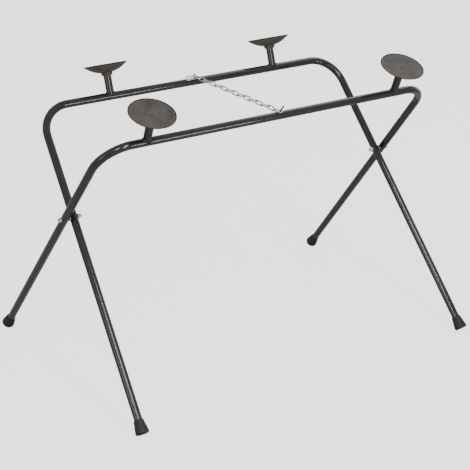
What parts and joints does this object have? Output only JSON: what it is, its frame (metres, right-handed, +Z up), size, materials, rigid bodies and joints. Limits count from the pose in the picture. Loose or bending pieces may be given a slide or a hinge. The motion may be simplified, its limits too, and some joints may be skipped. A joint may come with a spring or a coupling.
{
  "type": "folding windscreen stand",
  "caption": "Folding windscreen stand: crossed black tube frames on a bolt pivot, tilted rubber cups on posts and a chain that holds the legs open.",
  "frame": {"origin": "on the floor, midway between the four feet", "axes": "+X along the pivot bolts towards the right, +Y towards the inner frame's bar, +Z up"},
  "size_m": [1.3168, 0.92, 0.9258],
  "materials": {
    "powder_coat": "gloss black powder coat",
    "cup_rubber": "matt grey-brown moulded rubber",
    "foot_rubber": "matt black moulded rubber",
    "zinc": "bright zinc plate",
    "plug_steel": "plain turned steel"
  },
  "bodies": {
    "inner_frame": {"chain_pin": "powder_coat", "front_left_foot": "foot_rubber", "front_right_foot": "foot_rubber", "inner_frame_tube": "powder_coat", "inner_left_cup": "cup_rubber", "inner_left_cup_stud": "zinc", "inner_left_post": "powder_coat", "inner_left_post_plug": "plug_steel", "inner_right_cup": "cup_rubber", "inner_right_cup_stud": "zinc", "inner_right_post": "powder_coat", "inner_right_post_plug": "plug_steel", "left_dome_nut": "zinc", "left_head_washer": "zinc", "left_nut_washer": "zinc", "left_pivot_bolt": "zinc", "left_spacer_washer": "zinc", "right_dome_nut": "zinc", "right_head_washer": "zinc", "right_nut_washer": "zinc", "right_pivot_bolt": "zinc", "right_spacer_washer": "zinc"},
    "outer_frame": {"back_left_foot": "foot_rubber", "back_right_foot": "foot_rubber", "chain_hook": "powder_coat", "outer_frame_tube": "powder_coat", "outer_left_cup": "cup_rubber", "outer_left_cup_stud": "zinc", "outer_left_post": "powder_coat", "outer_left_post_plug": "plug_steel", "outer_right_cup": "cup_rubber", "outer_right_cup_stud": "zinc", "outer_right_post": "powder_coat", "outer_right_post_plug": "plug_steel"},
    "chain_run_1": {"chain_link_01": "zinc", "chain_end_link": "zinc"},
    "chain_run_2": {"chain_link_02": "zinc", "chain_link_03": "zinc"},
    "chain_run_3": {"chain_link_04": "zinc", "chain_link_05": "zinc", "chain_link_06": "zinc", "chain_link_07": "zinc", "chain_link_08": "zinc"},
    "chain_run_4": {"chain_link_09": "zinc", "chain_link_10": "zinc", "chain_link_11": "zinc", "chain_link_12": "zinc", "chain_link_13": "zinc", "chain_link_14": "zinc", "chain_link_15": "zinc"}
  },
  "joints": [
    {"name": "frame_fold", "type": "hinge", "parent": "inner_frame", "child": "outer_frame", "pos_m": [0, 0, 0.52885], "axis": [-1, 0, 0], "range_deg": [0, 68]},
    {"name": "chain_swing_1", "type": "hinge", "parent": "inner_frame", "child": "chain_run_1", "pos_m": [0, 0.24326, 0.82169], "axis": [1, 0, 0], "range_deg": [0, 10]},
    {"name": "chain_swing_2", "type": "hinge", "parent": "chain_run_1", "child": "chain_run_2", "pos_m": [0, 0.20576, 0.82169], "axis": [1, 0, 0], "range_deg": [0, 62]},
    {"name": "chain_swing_3", "type": "hinge", "parent": "chain_run_2", "child": "chain_run_3", "pos_m": [0, 0.13936, 0.82169], "axis": [1, 0, 0], "range_deg": [0, 12]},
    {"name": "chain_swing_4", "type": "hinge", "parent": "chain_run_3", "child": "chain_run_4", "pos_m": [0, -0.02234, 0.82169], "axis": [1, 0, 0], "range_deg": [0, 6]}
  ],
  "couplings": [
    {"joint": "chain_swing_1", "follows": "frame_fold", "ratio": 0.147},
    {"joint": "chain_swing_2", "follows": "frame_fold", "ratio": 0.9117},
    {"joint": "chain_swing_3", "follows": "frame_fold", "ratio": 0.1764},
    {"joint": "chain_swing_4", "follows": "frame_fold", "ratio": 0.0882}
  ]
}
